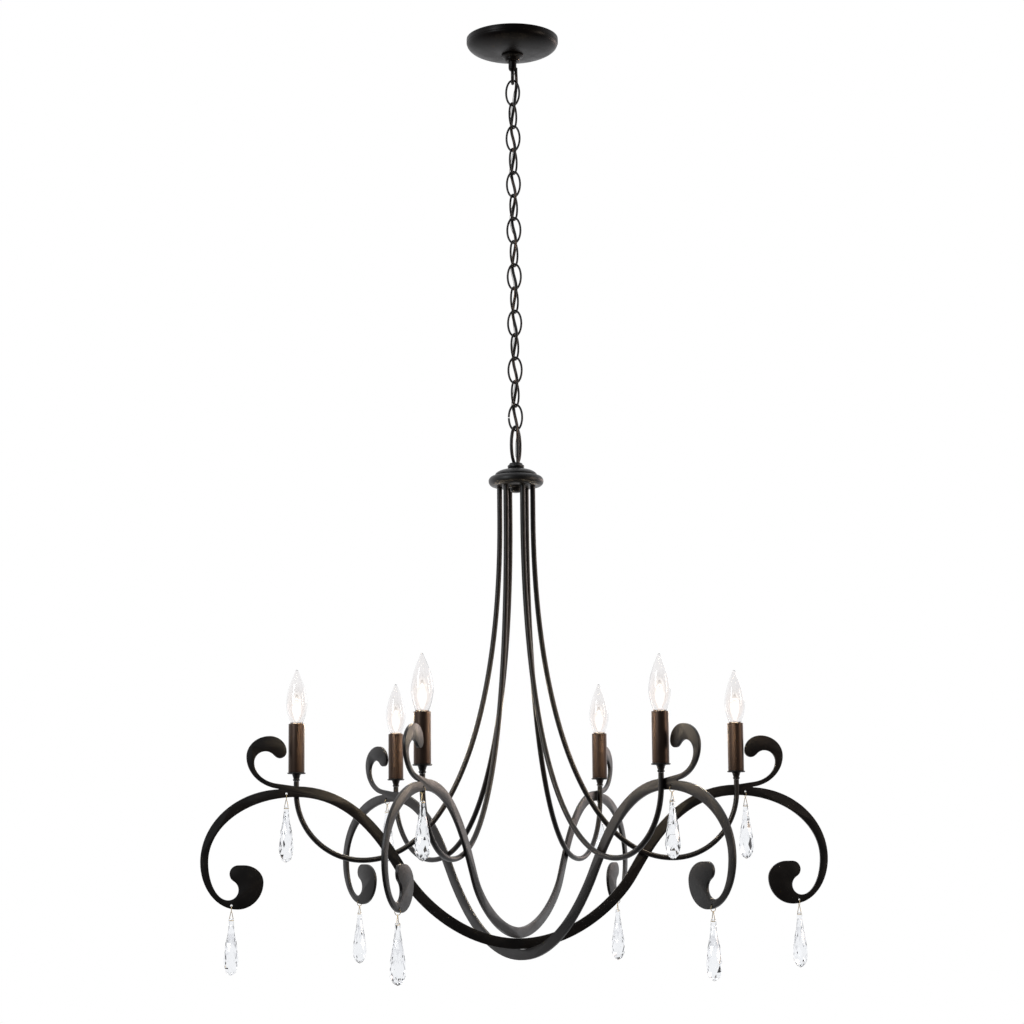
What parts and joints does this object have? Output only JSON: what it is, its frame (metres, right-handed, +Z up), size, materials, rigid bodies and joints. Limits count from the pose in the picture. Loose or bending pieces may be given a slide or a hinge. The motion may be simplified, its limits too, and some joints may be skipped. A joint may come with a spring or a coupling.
{
  "type": "multi arm chandelier",
  "caption": "Candle-style chandelier of crossed flat scroll plates and bent arm tubes with crystal drops, hung from a canopy on a chain.",
  "frame": {"origin": "middle of the canopy's rim plane, on the ceiling, at the top end of the threaded nipple", "axes": "+Z up to the ceiling; +X along the middle scroll plate, through arm 1"},
  "size_m": [0.922, 0.8008, 1.4051],
  "materials": {
    "satin_metal": "satin black-bronze lacquer",
    "candle_cover": "satin dark bronze lacquer",
    "zinc_steel": "zinc-plated",
    "lamp_glass": "clear polished",
    "crystal_glass": "cut and polished",
    "cord_jacket": "matt black jacket"
  },
  "bodies": {
    "ceiling_mount": {"canopy": "satin_metal", "mounting_strap": "zinc_steel", "canopy_loop": "satin_metal", "supply_cord": "cord_jacket"},
    "chain_link_01": {"chain_link_01": "satin_metal"},
    "chain_link_02": {"chain_link_02": "satin_metal"},
    "chain_link_03": {"chain_link_03": "satin_metal"},
    "chain_link_04": {"chain_link_04": "satin_metal"},
    "chain_link_05": {"chain_link_05": "satin_metal"},
    "chain_link_06": {"chain_link_06": "satin_metal"},
    "chain_link_07": {"chain_link_07": "satin_metal"},
    "chain_link_08": {"chain_link_08": "satin_metal"},
    "chain_link_09": {"chain_link_09": "satin_metal"},
    "chain_link_10": {"chain_link_10": "satin_metal"},
    "chain_link_11": {"chain_link_11": "satin_metal"},
    "chain_link_12": {"chain_link_12": "satin_metal"},
    "chain_link_13": {"chain_link_13": "satin_metal"},
    "chain_link_14": {"chain_link_14": "satin_metal"},
    "chain_link_15": {"chain_link_15": "satin_metal"},
    "fixture": {"hub_loop": "satin_metal", "hub_body": "satin_metal", "scroll_plate_upper": "satin_metal", "scroll_plate_middle": "satin_metal", "scroll_plate_lower": "satin_metal", "arm_1": "satin_metal", "candle_cup_1": "satin_metal", "candle_sleeve_1": "candle_cover", "arm_2": "satin_metal", "candle_cup_2": "satin_metal", "candle_sleeve_2": "candle_cover", "arm_3": "satin_metal", "candle_cup_3": "satin_metal", "candle_sleeve_3": "candle_cover", "arm_4": "satin_metal", "candle_cup_4": "satin_metal", "candle_sleeve_4": "candle_cover", "arm_5": "satin_metal", "candle_cup_5": "satin_metal", "candle_sleeve_5": "candle_cover", "arm_6": "satin_metal", "candle_cup_6": "satin_metal", "candle_sleeve_6": "candle_cover"},
    "crystal_upper_1": {"crystal_upper_1": "crystal_glass"},
    "crystal_lower_1": {"crystal_lower_1": "crystal_glass"},
    "crystal_upper_2": {"crystal_upper_2": "crystal_glass"},
    "crystal_lower_2": {"crystal_lower_2": "crystal_glass"},
    "crystal_upper_3": {"crystal_upper_3": "crystal_glass"},
    "crystal_lower_3": {"crystal_lower_3": "crystal_glass"},
    "crystal_upper_4": {"crystal_upper_4": "crystal_glass"},
    "crystal_lower_4": {"crystal_lower_4": "crystal_glass"},
    "crystal_upper_5": {"crystal_upper_5": "crystal_glass"},
    "crystal_lower_5": {"crystal_lower_5": "crystal_glass"},
    "crystal_upper_6": {"crystal_upper_6": "crystal_glass"},
    "crystal_lower_6": {"crystal_lower_6": "crystal_glass"},
    "bulb_1": {"bulb_1": "lamp_glass"},
    "bulb_2": {"bulb_2": "lamp_glass"},
    "bulb_3": {"bulb_3": "lamp_glass"},
    "bulb_4": {"bulb_4": "lamp_glass"},
    "bulb_5": {"bulb_5": "lamp_glass"},
    "bulb_6": {"bulb_6": "lamp_glass"}
  },
  "joints": [
    {"name": "link_01_swing", "type": "hinge", "parent": "ceiling_mount", "child": "chain_link_01", "pos_m": [0, 0, -0.0706], "axis": [0.1495, 0.9888, 0], "range_deg": [-10, 10], "deforming": ["supply_cord"]},
    {"name": "link_02_swing", "type": "hinge", "parent": "chain_link_01", "child": "chain_link_02", "pos_m": [0, 0, -0.1057], "axis": [0.9478, -0.319, 0], "range_deg": [-5, 5], "deforming": ["supply_cord"]},
    {"name": "link_03_swing", "type": "hinge", "parent": "chain_link_02", "child": "chain_link_03", "pos_m": [0, 0, -0.1417], "axis": [0.6239, 0.7815, 0], "range_deg": [-5, 5], "deforming": ["supply_cord"]},
    {"name": "link_04_swing", "type": "hinge", "parent": "chain_link_03", "child": "chain_link_04", "pos_m": [0, 0, -0.1777], "axis": [0.9478, -0.319, 0], "range_deg": [-5, 5], "deforming": ["supply_cord"]},
    {"name": "link_05_swing", "type": "hinge", "parent": "chain_link_04", "child": "chain_link_05", "pos_m": [0, 0, -0.2137], "axis": [0.6239, 0.7815, 0], "range_deg": [-5, 5], "deforming": ["supply_cord"]},
    {"name": "link_06_swing", "type": "hinge", "parent": "chain_link_05", "child": "chain_link_06", "pos_m": [0, 0, -0.2497], "axis": [0.9478, -0.319, 0], "range_deg": [-5, 5], "deforming": ["supply_cord"]},
    {"name": "link_07_swing", "type": "hinge", "parent": "chain_link_06", "child": "chain_link_07", "pos_m": [0, 0, -0.2857], "axis": [0.6239, 0.7815, 0], "range_deg": [-5, 5], "deforming": ["supply_cord"]},
    {"name": "link_08_swing", "type": "hinge", "parent": "chain_link_07", "child": "chain_link_08", "pos_m": [0, 0, -0.3217], "axis": [0.9478, -0.319, 0], "range_deg": [-5, 5], "deforming": ["supply_cord"]},
    {"name": "link_09_swing", "type": "hinge", "parent": "chain_link_08", "child": "chain_link_09", "pos_m": [0, 0, -0.3577], "axis": [0.6239, 0.7815, 0], "range_deg": [-5, 5], "deforming": ["supply_cord"]},
    {"name": "link_10_swing", "type": "hinge", "parent": "chain_link_09", "child": "chain_link_10", "pos_m": [0, 0, -0.3937], "axis": [0.9478, -0.319, 0], "range_deg": [-5, 5], "deforming": ["supply_cord"]},
    {"name": "link_11_swing", "type": "hinge", "parent": "chain_link_10", "child": "chain_link_11", "pos_m": [0, 0, -0.4297], "axis": [0.6239, 0.7815, 0], "range_deg": [-5, 5], "deforming": ["supply_cord"]},
    {"name": "link_12_swing", "type": "hinge", "parent": "chain_link_11", "child": "chain_link_12", "pos_m": [0, 0, -0.4657], "axis": [0.9478, -0.319, 0], "range_deg": [-5, 5], "deforming": ["supply_cord"]},
    {"name": "link_13_swing", "type": "hinge", "parent": "chain_link_12", "child": "chain_link_13", "pos_m": [0, 0, -0.5017], "axis": [0.6239, 0.7815, 0], "range_deg": [-5, 5], "deforming": ["supply_cord"]},
    {"name": "link_14_swing", "type": "hinge", "parent": "chain_link_13", "child": "chain_link_14", "pos_m": [0, 0, -0.5377], "axis": [0.9478, -0.319, 0], "range_deg": [-5, 5], "deforming": ["supply_cord"]},
    {"name": "link_15_swing", "type": "hinge", "parent": "chain_link_14", "child": "chain_link_15", "pos_m": [0, 0, -0.5737], "axis": [0.6239, 0.7815, 0], "range_deg": [-5, 5], "deforming": ["supply_cord"]},
    {"name": "fixture_swing", "type": "hinge", "parent": "chain_link_15", "child": "fixture", "pos_m": [0, 0, -0.6097], "axis": [0.9478, -0.319, 0], "range_deg": [-10, 10], "deforming": ["supply_cord"]},
    {"name": "crystal_upper_1_swing", "type": "hinge", "parent": "fixture", "child": "crystal_upper_1", "pos_m": [0.3385, 0, -1.148], "axis": [0, -1, 0], "range_deg": [-10, 25]},
    {"name": "crystal_lower_1_swing", "type": "hinge", "parent": "fixture", "child": "crystal_lower_1", "pos_m": [0.416, 0, -1.3066], "axis": [0, -1, 0], "range_deg": [-30, 30]},
    {"name": "crystal_upper_2_swing", "type": "hinge", "parent": "fixture", "child": "crystal_upper_2", "pos_m": [0.16925, 0.29315, -1.148], "axis": [0.866, -0.5, 0], "range_deg": [-10, 25]},
    {"name": "crystal_lower_2_swing", "type": "hinge", "parent": "fixture", "child": "crystal_lower_2", "pos_m": [0.208, 0.36027, -1.3066], "axis": [0.866, -0.5, 0], "range_deg": [-30, 30]},
    {"name": "crystal_upper_3_swing", "type": "hinge", "parent": "fixture", "child": "crystal_upper_3", "pos_m": [-0.16925, 0.29315, -1.148], "axis": [0.866, 0.5, 0], "range_deg": [-10, 25]},
    {"name": "crystal_lower_3_swing", "type": "hinge", "parent": "fixture", "child": "crystal_lower_3", "pos_m": [-0.208, 0.36027, -1.3066], "axis": [0.866, 0.5, 0], "range_deg": [-30, 30]},
    {"name": "crystal_upper_4_swing", "type": "hinge", "parent": "fixture", "child": "crystal_upper_4", "pos_m": [-0.3385, 0, -1.148], "axis": [0, 1, 0], "range_deg": [-10, 25]},
    {"name": "crystal_lower_4_swing", "type": "hinge", "parent": "fixture", "child": "crystal_lower_4", "pos_m": [-0.416, 0, -1.3066], "axis": [0, 1, 0], "range_deg": [-30, 30]},
    {"name": "crystal_upper_5_swing", "type": "hinge", "parent": "fixture", "child": "crystal_upper_5", "pos_m": [-0.16925, -0.29315, -1.148], "axis": [-0.866, 0.5, 0], "range_deg": [-10, 25]},
    {"name": "crystal_lower_5_swing", "type": "hinge", "parent": "fixture", "child": "crystal_lower_5", "pos_m": [-0.208, -0.36027, -1.3066], "axis": [-0.866, 0.5, 0], "range_deg": [-30, 30]},
    {"name": "crystal_upper_6_swing", "type": "hinge", "parent": "fixture", "child": "crystal_upper_6", "pos_m": [0.16925, -0.29315, -1.148], "axis": [-0.866, -0.5, 0], "range_deg": [-10, 25]},
    {"name": "crystal_lower_6_swing", "type": "hinge", "parent": "fixture", "child": "crystal_lower_6", "pos_m": [0.208, -0.36027, -1.3066], "axis": [-0.866, -0.5, 0], "range_deg": [-30, 30]},
    {"name": "bulb_1_unscrew", "type": "slide", "parent": "fixture", "child": "bulb_1", "axis": [0, 0, 1], "range_m": [0, 0.03]},
    {"name": "bulb_2_unscrew", "type": "slide", "parent": "fixture", "child": "bulb_2", "axis": [0, 0, 1], "range_m": [0, 0.03]},
    {"name": "bulb_3_unscrew", "type": "slide", "parent": "fixture", "child": "bulb_3", "axis": [0, 0, 1], "range_m": [0, 0.03]},
    {"name": "bulb_4_unscrew", "type": "slide", "parent": "fixture", "child": "bulb_4", "axis": [0, 0, 1], "range_m": [0, 0.03]},
    {"name": "bulb_5_unscrew", "type": "slide", "parent": "fixture", "child": "bulb_5", "axis": [0, 0, 1], "range_m": [0, 0.03]},
    {"name": "bulb_6_unscrew", "type": "slide", "parent": "fixture", "child": "bulb_6", "axis": [0, 0, 1], "range_m": [0, 0.03]}
  ]
}
